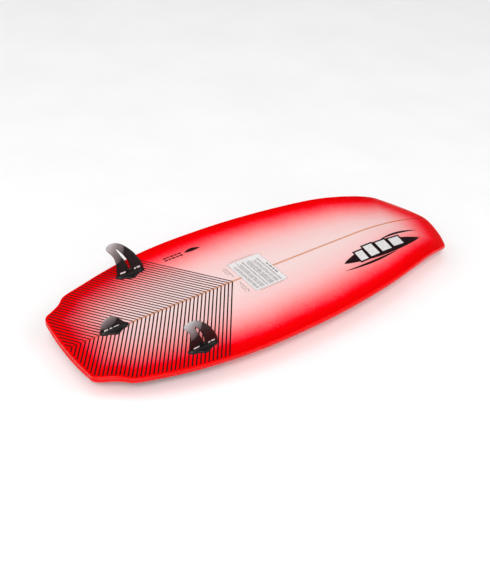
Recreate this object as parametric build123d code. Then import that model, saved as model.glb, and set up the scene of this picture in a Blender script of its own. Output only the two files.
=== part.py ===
from build123d import *
import math
import os

os.makedirs("parts", exist_ok=True)

# A short, wide, rigid surf board with three removable fins, stored bottom up.
# Stations: x runs from the tail edge (0) to the nose tip along the stringer, y is the
# half width, z is up. The bottom laminate faces up, the deck faces down. All in mm.

LENGTH = 1372.0
SKIN = 1.2                # laminate thickness
GLUE = 0.6                # resin-filled gap between laminate and foam
SEAM_DROP = 8.0           # rail seam, below the bottom surface
BOTTOM_EDGE_R = 4.0       # rounding where the bottom meets the rail
DECK_EDGE_R = 11.0        # rounding where the deck meets the rail

# side profile: the bottom is lowest at the nose and tail, flattest at FLAT_X
FLAT_X = 1030.0
NOSE_ROCKER = 52.8
TAIL_ROCKER = 13.7
REST_SLOPE = 0.0099       # the board lies on its nose and tail kick, so it tips a little

# thickness along the stringer, and the doming of the deck across it
THICK_X = 650.0
THICK_MID = 42.0
THICK_NOSE = 23.5
THICK_TAIL = 30.0
DOME = 2.8e-4             # deck falls away by DOME * y^2

# across the board the bottom is flat, but hollow near the tail and rolled down at the nose
HOLLOW_X = 262.0
TAIL_HOLLOW = 3.2e-4
BELLY_X = 1130.0
NOSE_BELLY = 6.6e-4

# stringer
STRINGER_WIDTH = 6.0
STRINGER_GAP = 0.2

# fins: foot centre, side of the board (+1 left, -1 right, 0 centre)
SIDE_FIN_X = 310.0
SIDE_FIN_Y = 195.0
CENTRE_FIN_X = 147.0
SIDE_FOOT = 95.0
CENTRE_FOOT = 88.0
CANT = 5.6                # degrees that a side fin leans outwards
GASKET_LIFT = 0.3         # running gap between gasket and laminate
GASKET_THICK = 1.0
GASKET_LIP = 1.2          # gasket shows this far around the foot
FOOT_EDGE = 1.6           # lower step of the foot
FOOT_STEP = 1.2           # upper step, set in and raised by this much

# fin tabs, box slots and the leaf springs that click into the tabs
TAB_LENGTH = 22.0
TAB_WIDTH = 6.0
TAB_DEPTH = 13.0
TAB_SPACING = 46.0
SLOT_GAP = 0.4
BOX_WIDTH = 14.0
BOX_DEPTH = 17.0
BOX_MARGIN = 4.0          # box wall beyond the slot at each end
BOX_FIT = 0.3             # gap around the box in laminate and foam
SPRING_LENGTH = 14.0
SPRING_HEIGHT = 9.0
SPRING_THICK = 0.7
POCKET_DEPTH = 1.6
BUMP_R = 1.6
BUMP_Y = 3.95             # bump centre, across the tab
BUMP_Z = -7.0

# deck grip
PAD_THICK = 5.0
PAD_GAP = 0.3
PAD_SEAM = 8.0
PAD_CORNER = 14.0
REAR_PAD = (96.0, 372.0)
FRONT_PAD = (520.0, 1010.0)
CENTRE_PAD_HALF = 62.0
KICK_WIDTH = 200.0

# blank label on the bottom
LABEL = (580.0, 697.0)
LABEL_WIDTH = 148.0
LABEL_LIFT = 0.05
LABEL_THICK = 0.25

OVERHANG = 15.0           # helper surfaces reach this far past the board
TALL = 200.0              # height of helper solids
WIDE = 290.0              # half width of helper solids


def bottom_z(x):
    nose = max(0.0, (x - FLAT_X) / (LENGTH - FLAT_X))
    tail = max(0.0, (FLAT_X - x) / FLAT_X)
    return REST_SLOPE * x - NOSE_ROCKER * nose**2 - TAIL_ROCKER * tail**2


def bottom_surface(x, y):
    hollow = max(0.0, (HOLLOW_X - x) / HOLLOW_X)
    belly = max(0.0, (x - BELLY_X) / (LENGTH - BELLY_X))
    return bottom_z(x) + (TAIL_HOLLOW * hollow**3 - NOSE_BELLY * belly**3) * y * y


def bottom_slope(x):
    return (bottom_z(x + 1.0) - bottom_z(x - 1.0)) / 2.0


def thickness(x):
    ahead = max(0.0, (x - THICK_X) / (LENGTH - THICK_X))
    behind = max(0.0, (THICK_X - x) / THICK_X)
    return THICK_MID - (THICK_MID - THICK_NOSE) * ahead**2 - (THICK_MID - THICK_TAIL) * behind**2


def deck_z(x, y):
    return bottom_surface(x, y) - thickness(x) + DOME * y * y


def sheet(height, shift):
    """A surface over the whole plan and a little beyond: height(x, y) + shift."""
    columns, rows = 48, 12
    grid = []
    for i in range(columns + 1):
        x = (LENGTH + 2.0 * OVERHANG) * i / columns - OVERHANG
        across = [2.0 * WIDE * j / rows - WIDE for j in range(rows + 1)]
        grid.append([Vector(x, y, height(x, y) + shift) for y in across])
    return Face.make_surface_from_array_of_points(grid, tol=0.02, min_deg=3, max_deg=5)


def below_bottom(drop):
    """Everything under the bottom surface lowered by drop."""
    return Solid.extrude(sheet(bottom_surface, -drop - TALL), Vector(0, 0, TALL))


def above_deck(rise):
    """Everything over the deck surface raised by rise."""
    return Solid.extrude(sheet(deck_z, rise), Vector(0, 0, TALL))


def moved_in(curve, inset, count):
    """An outline curve, clockwise seen from above, moved towards the inside by inset."""
    points = []
    for i in range(count + 1):
        along = curve % (i / count)
        points.append(curve @ (i / count) + inset * Vector(along.Y, -along.X))
    return Spline(points, tangents=[curve % 0, curve % 1]).edge()


def outline(inset=0.0):
    """Plan shape: square tail, a small step ahead of it, long rails, blunt pointed nose."""
    tail = ThreePointArc((5, -128), (0, 0), (5, 128))
    wing_points = [(18, 147.5), (60, 171), (75, 184), (86, 196), (100, 204.5), (122, 212.5)]
    wing = Spline(wing_points, tangents=[(22, 12.5), (4, 1.15)])
    tail_corner = Spline([tail @ 1, wing @ 0], tangents=[tail % 1, wing % 0])
    rail_points = [(122, 212.5), (242, 247), (350, 268), (457, 280), (580, 283), (701, 280.5)]
    rail_points += [(824, 271), (948, 255), (1071, 231.5), (1191, 200), (1266, 181)]
    rail = Spline(rail_points, tangents=[(4, 1.15), (1, -0.29)])
    nose_half = [(1293, 167), (1309, 146), (1321.5, 127), (1332, 109), (1342, 89), (1351.5, 69)]
    nose_half += [(1360.5, 46), (1368.5, 21)]
    nose_points = nose_half + [(LENGTH, 0)] + [(x, -y) for x, y in reversed(nose_half)]
    nose = Spline(nose_points, tangents=[(0.6, -0.8), (-0.6, -0.8)])
    nose_corner = Spline([rail @ 1, nose @ 0], tangents=[rail % 1, nose % 0])
    side = [(tail_corner, 6), (wing, 16), (rail, 20), (nose_corner, 6)]
    side = [moved_in(curve, inset, count) for curve, count in side]
    other_side = [mirror(edge, about=Plane.XZ).edge() for edge in side]
    ends = [moved_in(tail, inset, 8), moved_in(nose, inset, 24)]
    return make_face(Wire(ends + side + other_side))


def column(face):
    """A plan shape made into a tall prism through the whole board."""
    return Pos(0, 0, -TALL) * extrude(face, amount=2.0 * TALL)


def hull(inset):
    """The board's body, shrunk by inset on every side, with rounded rails."""
    block = (column(outline(inset)) & below_bottom(inset) & above_deck(inset)).solids()[0]
    bottom = max(block.faces(), key=lambda face: face.normal_at().Z)
    block = fillet(bottom.outer_wire().edges(), BOTTOM_EDGE_R - inset).solids()[0]
    deck = min(block.faces(), key=lambda face: face.normal_at().Z)
    return fillet(deck.outer_wire().edges(), DECK_EDGE_R - inset).solids()[0]


# ---- fin boxes and springs, in the fin's own frame: x along the foot, z out of the board ----

def seat(x, y):
    """The fin's frame: on the bottom surface, square to it."""
    tip = math.degrees(math.atan(bottom_slope(x)))
    return Location((x, y, bottom_z(x)), (0, -tip, 0))


def tab_places():
    return [Pos(-TAB_SPACING / 2.0, 0, 0), Pos(TAB_SPACING / 2.0, 0, 0)]


def box_block(grow, top=0.0):
    length = TAB_SPACING + TAB_LENGTH + 2.0 * (SLOT_GAP + BOX_MARGIN + grow)
    width = BOX_WIDTH + 2.0 * grow
    plan = RectangleRounded(length, width, width / 2.0 - 0.5)
    return Pos(0, 0, -BOX_DEPTH - grow) * extrude(plan, amount=BOX_DEPTH + grow + top)


def fin_box():
    block = box_block(0.0)
    slot_size = (TAB_LENGTH + 2.0 * SLOT_GAP, TAB_WIDTH + 2.0 * SLOT_GAP)
    slot = Pos(0, 0, -TAB_DEPTH - 1.0) * extrude(RectangleRounded(*slot_size, 1.5), amount=TALL)
    wall = TAB_WIDTH / 2.0 + SLOT_GAP
    pocket = Box(SPRING_LENGTH + 2.0, POCKET_DEPTH + 1.0, SPRING_HEIGHT + 1.0)
    pocket = Pos(0, wall + (POCKET_DEPTH - 1.0) / 2.0, BUMP_Z) * pocket
    for place in tab_places():
        block = block - place * slot - place * pocket
    return block


def spring_bump(grow=0.0):
    bump = Cylinder(BUMP_R + grow, SPRING_LENGTH - 4.0 + 2.0 * grow)
    return Pos(0, BUMP_Y, BUMP_Z) * Rot(0, 90, 0) * bump


def leaf_springs():
    leaf = Pos(0, BUMP_Y + SPRING_THICK / 2.0, BUMP_Z) * Box(SPRING_LENGTH, SPRING_THICK, SPRING_HEIGHT)
    bump = spring_bump() & Pos(0, BUMP_Y - 5.0, BUMP_Z) * Box(SPRING_LENGTH, 10.0, 10.0)
    leaf = leaf + bump
    return Compound([(place * leaf).solids()[0] for place in tab_places()])


# ---- fins, same frame ----

def foot_plan(length, grow=0.0):
    """Lobed foot: pointed at both ends, a small lobe behind and a large one in the middle."""
    half = [(0.03, 3.5), (0.08, 7.5), (0.15, 10.8), (0.23, 12.2), (0.31, 15.5), (0.39, 21.0)]
    half += [(0.47, 23.4), (0.56, 22.0), (0.65, 16.8), (0.74, 12.4), (0.82, 10.6), (0.89, 9.6)]
    half += [(0.95, 5.2)]
    reach = length / 2.0 + grow
    left = [((2.0 * s - 1.0) * reach, w + grow) for s, w in half]
    lobe = Spline([(-reach, 0.0)] + left + [(reach, 0.0)], tangents=[(0.25, 1.0), (0.35, -1.0)])
    return make_face(Wire([lobe.edge(), mirror(lobe.edge(), about=Plane.XZ).edge()]))


def side_blade_plan():
    points = [(95, 0), (94.6, 6), (92, 18), (85.5, 34), (76, 51), (65.5, 68), (53, 84), (40, 98)]
    points += [(27, 109.3), (15, 116.3), (3, 120), (-8.5, 120.3), (-17.5, 116), (-21.3, 108)]
    points += [(-18.5, 99), (-11.5, 90), (-3.5, 78), (3, 61), (5.6, 41), (5, 20), (3, 0)]
    return make_face(Wire([Spline(points).edge(), Line(points[-1], points[0]).edge()]))


def slit_plan():
    ahead = [(51, 20.5), (47.5, 36), (40.3, 54.5), (29.8, 73), (13.6, 95.5)]
    behind = [(11.4, 94), (24, 69.5), (34, 51), (41, 34), (45.6, 20)]
    low = ThreePointArc(behind[-1], (48.8, 17.4), ahead[0])
    high = ThreePointArc(ahead[-1], (11.6, 96.2), behind[0])
    return make_face(Wire([Spline(ahead).edge(), high.edge(), Spline(behind).edge(), low.edge()]))


def side_tip_plan():
    """The region of the smoke-coloured tip: everything above and behind this curve."""
    curve = Spline([(37, 135), (36.4, 102), (34.5, 87), (31, 75), (24, 60.5), (12, 50), (-8, 36)])
    rest = Polyline((-8, 36), (-60, 36), (-60, 135), (37, 135))
    return make_face(Wire([curve.edge()] + rest.edges()))


def centre_blade_plan():
    points = [(84, 0), (80.5, 6), (76, 12), (67, 23.5), (57, 34.5), (49.6, 41.6), (41.6, 46.9)]
    points += [(32.5, 49.2), (22.5, 47.4), (12.5, 40.8), (5.2, 29), (2, 15), (0.5, 0)]
    return make_face(Wire([Spline(points).edge(), Line(points[-1], points[0]).edge()]))


def centre_tip_plan():
    curve = Spline([(64, 50), (54, 34.3), (45.7, 23), (34, 16.6), (20, 14.8), (-8, 16.5)])
    rest = Polyline((-8, 16.5), (-8, 60), (64, 60), (64, 50))
    return make_face(Wire([curve.edge()] + rest.edges()))


def upright(plan, length):
    """A side-view shape stood up along the foot and given a width to cut with."""
    stood = Plane.XZ * (Pos(-length / 2.0, 0, 0) * plan)
    return extrude(stood, amount=10.0, both=True)


def lens(rear, front, thick, z):
    """Foil section at height z."""
    middle = (rear + 0.55 * (front - rear), thick / 2.0)
    upper = ThreePointArc((rear, 0), middle, (front, 0))
    lower = ThreePointArc((front, 0), (middle[0], -middle[1]), (rear, 0))
    return Pos(0, 0, z) * make_face(Wire([upper.edge(), lower.edge()]))


def foil(length, root, tip, height):
    """Tapering foil body: root and tip are (rear, front, thickness)."""
    shift = Pos(-length / 2.0, 0, 0)
    return loft([shift * lens(*root, 0.0), shift * lens(*tip, height)], ruled=True)


def blade(side):
    """The whole blade and the region that its smoke tip takes."""
    if side:
        plan = side_blade_plan() - slit_plan()
        body = foil(SIDE_FOOT, (-6, 104, 8.0), (-36, 42, 3.4), 122.0)
        region = upright(side_tip_plan(), SIDE_FOOT)
        return upright(plan, SIDE_FOOT) & body, region
    body = foil(CENTRE_FOOT, (-6, 92, 7.0), (-6, 60, 3.2), 50.0)
    region = upright(centre_tip_plan(), CENTRE_FOOT)
    return upright(centre_blade_plan(), CENTRE_FOOT) & body, region


def tab():
    plan = RectangleRounded(TAB_LENGTH, TAB_WIDTH, 1.5)
    reach = TAB_DEPTH + GASKET_LIFT + GASKET_THICK
    body = Pos(0, 0, -TAB_DEPTH) * extrude(plan, amount=reach + 0.5)
    body = chamfer(body.faces().sort_by(Axis.Z)[0].edges(), 0.8)
    return body - spring_bump(SLOT_GAP)


def fin(side):
    """Black base moulding, smoke tip and gasket of one fin."""
    length = SIDE_FOOT if side else CENTRE_FOOT
    foot_z = GASKET_LIFT + GASKET_THICK
    foot = Pos(0, 0, foot_z) * extrude(foot_plan(length), amount=FOOT_EDGE)
    foot += Pos(0, 0, foot_z) * extrude(foot_plan(length, -FOOT_STEP), amount=FOOT_EDGE + FOOT_STEP)
    whole, region = blade(side)
    lean = Pos(0, 0, foot_z) * Rot(-side * CANT, 0, 0)
    below_foot = Pos(0, 0, foot_z - TALL / 2.0) * Box(TALL, TALL, TALL)
    root = lean * (whole - region) - below_foot
    tabs = [place * tab() for place in tab_places()]
    base = foot + root + tabs[0] + tabs[1]
    smoke = lean * (whole & region)
    gasket = extrude(foot_plan(length, GASKET_LIP), amount=GASKET_THICK)
    hole = extrude(RectangleRounded(TAB_LENGTH + 0.6, TAB_WIDTH + 0.6, 1.8), amount=GASKET_THICK)
    for place in tab_places():
        gasket = gasket - place * hole
    return base, smoke, Pos(0, 0, GASKET_LIFT) * gasket


# ---- deck grip and label ----

def pad_plans():
    """Three pads behind and three ahead, left, centre and right of each."""
    inner = CENTRE_PAD_HALF + PAD_SEAM
    rear, front = REAR_PAD
    back, ahead = FRONT_PAD
    rear_left = [(rear, inner), (front, inner), (front, 230.0), (rear + 44.0, 178.0), (rear, 160.0)]
    front_left = [(back, inner), (ahead, inner), (ahead, 168.0), (back, 190.0)]
    plans = {}
    for where, ends, corners in (("rear", REAR_PAD, rear_left), ("front", FRONT_PAD, front_left)):
        left = make_face(FilletPolyline(*corners, radius=PAD_CORNER, close=True))
        middle = Pos((ends[0] + ends[1]) / 2.0, 0, 0)
        plans[where + "_pad_left"] = left
        plans[where + "_pad_right"] = mirror(left, about=Plane.XZ)
        size = (ends[1] - ends[0], 2.0 * CENTRE_PAD_HALF)
        plans[where + "_pad_centre"] = middle * RectangleRounded(*size, PAD_CORNER)
    return plans


def pad_layer():
    return above_deck(-PAD_GAP - PAD_THICK) - above_deck(-PAD_GAP)


def tail_kick(ground):
    """Wedge block behind the rear pads; its lowest face lies on the ground."""
    start, top, shoulder, end = 34.0, 44.0, 60.0, 88.0
    profile = Polyline((start, ground + 9), (top, ground), (shoulder, ground), (end, ground + 10),
                       (end, 0), (start, 0), (start, ground + 9))
    wedge = Plane.XZ * make_face(profile)
    wedge = extrude(wedge, amount=KICK_WIDTH / 2.0, both=True)
    plan = Pos((start + end) / 2.0, 0, 0) * RectangleRounded(end - start, KICK_WIDTH, 16.0)
    return (wedge & column(plan)) - above_deck(-PAD_GAP)


def info_label():
    middle = (LABEL[0] + LABEL[1]) / 2.0
    plan = Pos(middle, 0, 0) * RectangleRounded(LABEL[1] - LABEL[0], LABEL_WIDTH, 2.0)
    layer = below_bottom(-LABEL_LIFT - LABEL_THICK) - below_bottom(-LABEL_LIFT)
    return column(plan) & layer


def build():
    outer = hull(0.0)
    ground = outer.bounding_box().min.Z
    shell = outer - hull(SKIN)
    below_seam = below_bottom(SEAM_DROP)
    parts = {"bottom_skin": shell - below_seam, "deck_skin": shell & below_seam}

    core = hull(SKIN + GLUE)
    slab = Box(4.0 * LENGTH, STRINGER_WIDTH, 4.0 * TALL)
    wide_slab = Box(4.0 * LENGTH, STRINGER_WIDTH + 2.0 * STRINGER_GAP, 4.0 * TALL)
    halves = core - wide_slab
    parts["core_right"], parts["core_left"] = halves.solids().sort_by(Axis.Y)
    parts["stringer"] = core & slab

    places = {"left": (SIDE_FIN_X, SIDE_FIN_Y, 1), "right": (SIDE_FIN_X, -SIDE_FIN_Y, -1)}
    places["centre"] = (CENTRE_FIN_X, 0.0, 0)
    for name, (x, y, side) in places.items():
        frame = seat(x, y)
        hole = frame * box_block(BOX_FIT, top=TALL / 4.0)
        for node in ("bottom_skin", "core_left", "core_right", "stringer"):
            parts[node] = parts[node] - hole
        parts[name + "_fin_box"] = frame * fin_box()
        parts[name + "_box_springs"] = frame * leaf_springs()
        base, smoke, gasket = fin(side)
        parts[name + "_fin_base"] = frame * base
        parts[name + "_fin_tip"] = frame * smoke
        parts[name + "_fin_gasket"] = frame * gasket

    layer = pad_layer()
    for node, plan in pad_plans().items():
        parts[node] = column(plan) & layer
    parts["tail_kick"] = tail_kick(ground)
    parts["info_label"] = info_label()
    return parts, ground


def main():
    parts, ground = build()
    to_frame = Pos(-LENGTH / 2.0, 0, -ground)
    for node, shape in parts.items():
        solids = [to_frame * solid for solid in shape.solids()]
        export_step(solids[0] if len(solids) == 1 else Compound(solids), "parts/" + node + ".step")


main()
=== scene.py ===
import math
import random

import bmesh
import bpy
import numpy as np
from mathutils import Matrix, Vector
from mathutils.geometry import delaunay_2d_cdt


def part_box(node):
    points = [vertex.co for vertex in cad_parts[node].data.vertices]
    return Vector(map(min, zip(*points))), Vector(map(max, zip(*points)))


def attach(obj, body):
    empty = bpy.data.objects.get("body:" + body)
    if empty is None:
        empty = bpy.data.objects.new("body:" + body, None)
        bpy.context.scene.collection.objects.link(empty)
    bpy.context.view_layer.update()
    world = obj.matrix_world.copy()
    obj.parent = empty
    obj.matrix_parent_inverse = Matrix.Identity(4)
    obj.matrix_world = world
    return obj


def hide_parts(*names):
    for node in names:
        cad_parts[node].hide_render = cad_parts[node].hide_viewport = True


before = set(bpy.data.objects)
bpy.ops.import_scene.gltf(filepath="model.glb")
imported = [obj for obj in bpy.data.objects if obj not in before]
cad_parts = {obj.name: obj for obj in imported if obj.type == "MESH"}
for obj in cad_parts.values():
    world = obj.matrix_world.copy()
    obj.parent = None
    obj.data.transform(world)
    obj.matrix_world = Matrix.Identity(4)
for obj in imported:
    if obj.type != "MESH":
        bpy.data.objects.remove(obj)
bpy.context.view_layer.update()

# The board's own shape is worked out in millimetres: x from the tail edge along the stringer,
# y across, z up out of the bottom. to_row() takes such points into the row frame in metres.
LENGTH = 1372.0
SKIN = 1.2
SEAM_DROP = 8.0
DECK_EDGE_R = 11.0
FLAT_X, NOSE_ROCKER, TAIL_ROCKER, REST_SLOPE = 1030.0, 52.8, 13.7, 0.0099
THICK_X, THICK_MID, THICK_NOSE, THICK_TAIL, DOME = 650.0, 42.0, 23.5, 30.0, 2.8e-4
HOLLOW_X, TAIL_HOLLOW, BELLY_X, NOSE_BELLY = 262.0, 3.2e-4, 1130.0, 6.6e-4
SIDE_FIN_X, SIDE_FIN_Y, CENTRE_FIN_X = 310.0, 195.0, 147.0
SIDE_FOOT, CENTRE_FOOT, CANT = 95.0, 88.0, 5.6
FOOT_Z = 1.3
TAB_SPACING, TAB_LENGTH, TAB_WIDTH, TAB_DEPTH = 46.0, 22.0, 6.0, 13.0
STRIPE_APEX, STRIPE_PITCH, STRIPE_WIDTH, STRIPE_SLOPE = 546.0, 13.5, 3.9, 0.745
LABEL_X, LABEL_HALF = (580.0, 697.0), 74.0


def bottom_z(x, y=0.0):
    nose = np.clip((x - FLAT_X) / (LENGTH - FLAT_X), 0, None)
    tail = np.clip((FLAT_X - x) / FLAT_X, 0, None)
    hollow = np.clip((HOLLOW_X - x) / HOLLOW_X, 0, None)
    belly = np.clip((x - BELLY_X) / (LENGTH - BELLY_X), 0, None)
    across = (TAIL_HOLLOW * hollow**3 - NOSE_BELLY * belly**3) * y * y
    return REST_SLOPE * x - NOSE_ROCKER * nose**2 - TAIL_ROCKER * tail**2 + across


def thickness(x):
    ahead = np.clip((x - THICK_X) / (LENGTH - THICK_X), 0, None)
    behind = np.clip((THICK_X - x) / THICK_X, 0, None)
    return THICK_MID - (THICK_MID - THICK_NOSE) * ahead**2 - (THICK_MID - THICK_TAIL) * behind**2


def deck_z(x, y):
    return bottom_z(x, y) - thickness(x) + DOME * y * y


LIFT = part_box("bottom_skin")[1].z * 1000 - float(bottom_z(np.linspace(0, LENGTH, 400)).max())


def to_row(points):
    moved = np.asarray(points, float) + [-LENGTH / 2, 0, LIFT]
    return moved / 1000


# ---------------------------------------------------------------- curves and meshes

def smooth_curve(points, start, end, count):
    """Cubic spline through points with these end directions, sampled at count + 1 places."""
    p = np.array(points, float)
    h = np.linalg.norm(np.diff(p, axis=0), axis=1)
    n = len(p)
    a, b = np.eye(n), np.zeros((n, 2))
    b[0], b[-1] = np.array(start) / np.linalg.norm(start), np.array(end) / np.linalg.norm(end)
    for i in range(1, n - 1):
        a[i, i - 1:i + 2] = h[i], 2 * (h[i - 1] + h[i]), h[i - 1]
        left, right = (p[i] - p[i - 1]) / h[i - 1], (p[i + 1] - p[i]) / h[i]
        b[i] = 3 * (h[i - 1] * right + h[i] * left)
    m = np.linalg.solve(a, b)
    knots = np.concatenate([[0], np.cumsum(h)])
    places = np.linspace(0, knots[-1], count + 1)
    seg = np.clip(np.searchsorted(knots, places, side="right") - 1, 0, n - 2)
    t = ((places - knots[seg]) / h[seg])[:, None]
    hs = h[seg][:, None]
    value = (2 * t**3 - 3 * t**2 + 1) * p[seg] + (t**3 - 2 * t**2 + t) * hs * m[seg]
    return value + (3 * t**2 - 2 * t**3) * p[seg + 1] + (t**3 - t**2) * hs * m[seg + 1]


def resampled(line, count, closed=False):
    """Points at even spacing along a polyline; a closed one leaves out its last point."""
    line = np.asarray(line, float)
    run = np.concatenate([[0], np.cumsum(np.linalg.norm(np.diff(line, axis=0), axis=1))])
    places = np.linspace(0, run[-1], count + 1)
    if closed:
        places = places[:-1]
    return np.stack([np.interp(places, run, line[:, k]) for k in range(line.shape[1])], 1)


def board_outline():
    """The plan shape as one closed loop, tail middle first, along the +y side to the nose."""
    tail_bend = 0.0782
    tail = np.array([(5 - 5 * (1 - (y / 128)**2), y) for y in np.linspace(0, 128, 30)])
    wing_points = [(18, 147.5), (60, 171), (75, 184), (86, 196), (100, 204.5), (122, 212.5)]
    wing = smooth_curve(wing_points, (22, 12.5), (4, 1.15), 44)
    corner = smooth_curve([(5, 128), (18, 147.5)], (tail_bend, 1), (22, 12.5), 12)
    rail_points = [(122, 212.5), (242, 247), (350, 268), (457, 280), (580, 283), (701, 280.5)]
    rail_points += [(824, 271), (948, 255), (1071, 231.5), (1191, 200), (1266, 181)]
    rail = smooth_curve(rail_points, (4, 1.15), (1, -0.29), 200)
    nose_half = [(1293, 167), (1309, 146), (1321.5, 127), (1332, 109), (1342, 89), (1351.5, 69)]
    nose_half += [(1360.5, 46), (1368.5, 21)]
    nose_points = nose_half + [(LENGTH, 0)] + [(x, -y) for x, y in reversed(nose_half)]
    nose = smooth_curve(nose_points, (0.6, -0.8), (-0.6, -0.8), 88)[:45]
    nose_corner = smooth_curve([(1266, 181), (1293, 167)], (1, -0.29), (0.6, -0.8), 14)
    half = np.concatenate([tail, corner[1:], wing[1:], rail[1:], nose_corner[1:], nose[1:]])
    other = half[1:-1][::-1] * [1, -1]
    return np.concatenate([half, other])


def inward_normals(loop):
    """Unit normals of a loop that runs clockwise seen from above."""
    along = np.roll(loop, -1, 0) - np.roll(loop, 1, 0)
    along /= np.linalg.norm(along, axis=1)[:, None]
    return np.stack([along[:, 1], -along[:, 0]], 1)


def distance_to(points, line, closed=True):
    """Distance in plan from each point to a polyline."""
    a = np.asarray(line, float)
    b = np.roll(a, -1, 0) if closed else a[1:]
    a = a if closed else a[:-1]
    d = b - a
    best = np.full(len(points), 1e9)
    for start in range(0, len(a), 200):
        s, e = a[start:start + 200], d[start:start + 200]
        rel = points[:, None, :] - s[None]
        t = np.clip((rel * e).sum(2) / (e**2).sum(1), 0, 1)
        best = np.minimum(best, np.linalg.norm(rel - t[..., None] * e, axis=2).min(1))
    return best


def inside(points, loop):
    """Which points lie inside a closed polyline, by the even-odd rule."""
    x, y = points[:, 0][:, None], points[:, 1][:, None]
    a, b = loop, np.roll(loop, -1, 0)
    crosses = (a[:, 1] > y) != (b[:, 1] > y)
    slope = np.where(b[:, 1] == a[:, 1], 1e-12, b[:, 1] - a[:, 1])
    at = a[:, 0] + (y - a[:, 1]) * (b[:, 0] - a[:, 0]) / slope
    return (crosses & (x < at)).sum(1) % 2 == 1


def new_object(name, points, faces, smooth=True):
    mesh = bpy.data.meshes.new(name)
    mesh.from_pydata([tuple(p) for p in points], [], [tuple(int(i) for i in f) for f in faces])
    mesh.validate()
    if smooth:
        mesh.polygons.foreach_set("use_smooth", [True] * len(mesh.polygons))
    obj = bpy.data.objects.new(name, mesh)
    bpy.context.scene.collection.objects.link(obj)
    return obj


def tidy_mesh(obj, merge=0.0):
    """Joins points closer than merge, drops points that no face uses and turns the faces outwards."""
    bm = bmesh.new()
    bm.from_mesh(obj.data)
    if merge:
        bmesh.ops.remove_doubles(bm, verts=bm.verts, dist=merge)
    loose = [v for v in bm.verts if not v.link_faces]
    bmesh.ops.delete(bm, geom=loose, context="VERTS")
    bmesh.ops.recalc_face_normals(bm, faces=bm.faces)
    bm.to_mesh(obj.data)
    bm.free()
    return obj


def apply_modifiers(obj):
    """Turns the modifiers' result into the object's own mesh."""
    graph = bpy.context.evaluated_depsgraph_get()
    mesh = bpy.data.meshes.new_from_object(obj.evaluated_get(graph), depsgraph=graph)
    obj.modifiers.clear()
    obj.data = mesh
    return obj


def ring_mesh(rings, closed=True):
    """Quads between successive rings of equal length."""
    count = len(rings[0])
    faces = []
    last = count if closed else count - 1
    for r in range(len(rings) - 1):
        for i in range(last):
            j = (i + 1) % count
            faces.append((r * count + i, r * count + j, (r + 1) * count + j, (r + 1) * count + i))
    return np.concatenate(rings), faces


def triangulated(outer, holes, spacing, extra=()):
    """Even triangles inside a closed plan loop with holes. extra loops are lines to keep."""
    loops = [np.asarray(outer, float)] + [np.asarray(h, float) for h in holes]
    lines = [np.asarray(line, float) for line in extra]
    lo, hi = loops[0].min(0), loops[0].max(0)
    rows = np.arange(lo[1], hi[1], spacing * 0.866)
    grid = [(x + (k % 2) * spacing / 2, y) for k, y in enumerate(rows)
            for x in np.arange(lo[0], hi[0] + spacing, spacing)]
    grid = np.array(grid)
    grid = grid[inside(grid, loops[0])]
    for hole in loops[1:]:
        grid = grid[~inside(grid, hole)]
    for loop in loops:
        grid = grid[distance_to(grid, loop) > spacing * 0.45]
    for line in lines:
        grid = grid[distance_to(grid, line, closed=False) > spacing * 0.45]
    points, edges = [], []
    for loop in loops:
        base = len(points)
        points += [tuple(p) for p in loop]
        edges += [(base + i, base + (i + 1) % len(loop)) for i in range(len(loop))]
    for line in lines:
        base = len(points)
        points += [tuple(p) for p in line]
        edges += [(base + i, base + i + 1) for i in range(len(line) - 1)]
    points += [tuple(p) for p in grid]
    flat = [Vector(p) for p in points]
    verts, _, tris, *_ = delaunay_2d_cdt(flat, edges, [], 0, 1e-5)
    verts = np.array([tuple(v) for v in verts])
    tris = np.array([t for t in tris])
    middle = verts[tris].mean(1)
    keep = inside(middle, loops[0])
    for hole in loops[1:]:
        keep &= ~inside(middle, hole)
    return verts, tris[keep]


def thick_sheet(tris, low, high, shared=()):
    """A closed solid from plan triangles: low and high surfaces joined along the border.
    Where a border vertex is in shared, both surfaces use the same vertex."""
    count = len(low)
    shared = set(shared)
    upper = {i: (i if i in shared else i + count) for i in range(count)}
    faces = [tuple(reversed(t)) for t in tris] + [tuple(upper[i] for i in t) for t in tris]
    sides = {}
    for t in tris:
        for a, b in ((t[0], t[1]), (t[1], t[2]), (t[2], t[0])):
            key = (min(a, b), max(a, b))
            sides[key] = None if key in sides else (a, b)
    for pair in sides.values():
        if pair and not (pair[0] in shared and pair[1] in shared):
            a, b = pair
            wall = [a, b] + [upper[i] for i in (b, a) if upper[i] != i]
            faces.append(tuple(dict.fromkeys(wall)))
    return np.concatenate([low, high]), faces


# ---------------------------------------------------------------- materials

def srgb(r, g, b):
    """0 to 255 screen colour to linear."""
    out = []
    for c in (r, g, b):
        c = c / 255
        out.append(c / 12.92 if c <= 0.04045 else ((c + 0.055) / 1.055)**2.4)
    return (*out, 1.0)


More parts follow.
